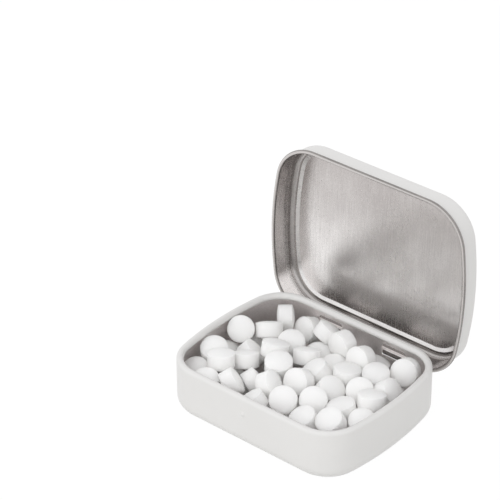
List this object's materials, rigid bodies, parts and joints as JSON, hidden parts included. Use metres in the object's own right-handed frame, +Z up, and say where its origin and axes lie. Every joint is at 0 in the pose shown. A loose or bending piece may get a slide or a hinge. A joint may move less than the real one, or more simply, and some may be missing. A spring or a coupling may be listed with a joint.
{
  "type": "hinged mint tin",
  "caption": "Small rectangular drawn tin with rounded corners, a rolled rim and a hinged lid standing open, filled with loose domed mint tablets.",
  "frame": {"origin": "under the middle of the base, on the surface that it stands on", "axes": "+Z up, +X along the tin's length, the front faces -Y and the hinge is at +Y"},
  "size_m": [0.0602, 0.054, 0.0552],
  "materials": {
    "lacquered_tinplate": "white satin lacquer outside and over the rolled rim, bare tinplate inside",
    "lid_tinplate": "white satin lacquer outside, bare brushed tinplate inside and on the edge bead",
    "mint": "chalky pressed sugar tablet"
  },
  "bodies": {
    "base": {"tin_base": "lacquered_tinplate", "mint_01": "mint", "mint_02": "mint", "mint_03": "mint", "mint_04": "mint", "mint_05": "mint", "mint_06": "mint", "mint_07": "mint", "mint_08": "mint", "mint_09": "mint", "mint_10": "mint", "mint_11": "mint", "mint_12": "mint", "mint_13": "mint", "mint_14": "mint", "mint_15": "mint", "mint_16": "mint", "mint_17": "mint", "mint_18": "mint", "mint_19": "mint", "mint_20": "mint", "mint_21": "mint", "mint_22": "mint", "mint_23": "mint", "mint_24": "mint", "mint_25": "mint", "mint_26": "mint", "mint_27": "mint", "mint_28": "mint", "mint_29": "mint", "mint_30": "mint", "mint_31": "mint", "mint_32": "mint", "mint_33": "mint", "mint_34": "mint", "mint_35": "mint", "mint_36": "mint", "mint_37": "mint", "mint_38": "mint", "mint_39": "mint", "mint_40": "mint", "mint_41": "mint", "mint_bed_back_left": "mint", "mint_bed_back_right": "mint", "mint_bed_front_left": "mint", "mint_bed_front_right": "mint"},
    "lid": {"tin_lid": "lid_tinplate"}
  },
  "joints": [
    {"name": "lid_hinge", "type": "hinge", "parent": "base", "child": "lid", "pos_m": [0, 0.02296, 0.00834], "axis": [1, 0, 0], "range_deg": [0, 92.25]}
  ]
}
